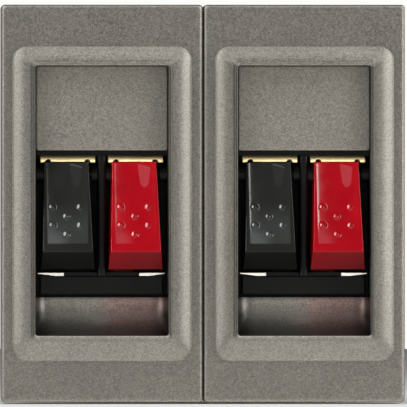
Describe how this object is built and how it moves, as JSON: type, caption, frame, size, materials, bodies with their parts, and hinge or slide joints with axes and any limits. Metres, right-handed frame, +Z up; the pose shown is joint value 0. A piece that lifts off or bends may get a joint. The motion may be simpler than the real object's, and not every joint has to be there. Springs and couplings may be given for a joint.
{
  "type": "loudspeaker wall terminal",
  "caption": "Twin wall terminal for bare loudspeaker wires: grey fascias with raised bezels, black and red sprung levers over brass clamps, and a scoop below.",
  "frame": {"origin": "middle of the seat plane, where the fascias' rear rims rest on the support frame", "axes": "+Z up, +X to the right, the front faces -Y"},
  "size_m": [0.0448, 0.0205, 0.0442],
  "materials": {
    "grey_paint": "satin metallic",
    "panel_paint": "satin metallic",
    "black_plastic": "matte",
    "housing_plastic": "matte",
    "black_lever": "gloss",
    "red_lever": "gloss",
    "spring_brass": "satin",
    "pillar_brass": "satin",
    "tinned": "bright tinned",
    "steel": "zinc plated"
  },
  "bodies": {
    "terminal": {"fascia_left": "grey_paint", "upper_panel_left": "panel_paint", "terminal_block_left": "black_plastic", "hinge_pin_left": "steel", "clamp_spring_black_left": "spring_brass", "contact_bar_black_left": "tinned", "wire_pillar_black_left": "pillar_brass", "clamp_spring_red_left": "spring_brass", "contact_bar_red_left": "tinned", "wire_pillar_red_left": "pillar_brass", "fascia_right": "grey_paint", "upper_panel_right": "panel_paint", "terminal_block_right": "black_plastic", "hinge_pin_right": "steel", "clamp_spring_black_right": "spring_brass", "contact_bar_black_right": "tinned", "wire_pillar_black_right": "pillar_brass", "clamp_spring_red_right": "spring_brass", "contact_bar_red_right": "tinned", "wire_pillar_red_right": "pillar_brass", "pillar_screws": "steel", "block_screws": "steel", "cover_screws": "steel", "twin_housing": "housing_plastic", "rear_cover": "housing_plastic"},
    "lever_black_left": {"lever_black_left": "black_lever"},
    "lever_red_left": {"lever_red_left": "red_lever"},
    "lever_black_right": {"lever_black_right": "black_lever"},
    "lever_red_right": {"lever_red_right": "red_lever"}
  },
  "joints": [
    {"name": "press_black_left", "type": "hinge", "parent": "terminal", "child": "lever_black_left", "pos_m": [-0.01503, -0.0043, 0.0034], "axis": [1, 0, 0], "range_deg": [0, 8], "stiffness_Nm_per_rad": 0.25, "springref_deg": -6.88, "deforming": ["clamp_spring_black_left"]},
    {"name": "press_red_left", "type": "hinge", "parent": "terminal", "child": "lever_red_left", "pos_m": [-0.00747, -0.0043, 0.0034], "axis": [1, 0, 0], "range_deg": [0, 8], "stiffness_Nm_per_rad": 0.25, "springref_deg": -6.88, "deforming": ["clamp_spring_red_left"]},
    {"name": "press_black_right", "type": "hinge", "parent": "terminal", "child": "lever_black_right", "pos_m": [0.00747, -0.0043, 0.0034], "axis": [1, 0, 0], "range_deg": [0, 8], "stiffness_Nm_per_rad": 0.25, "springref_deg": -6.88, "deforming": ["clamp_spring_black_right"]},
    {"name": "press_red_right", "type": "hinge", "parent": "terminal", "child": "lever_red_right", "pos_m": [0.01503, -0.0043, 0.0034], "axis": [1, 0, 0], "range_deg": [0, 8], "stiffness_Nm_per_rad": 0.25, "springref_deg": -6.88, "deforming": ["clamp_spring_red_right"]}
  ]
}
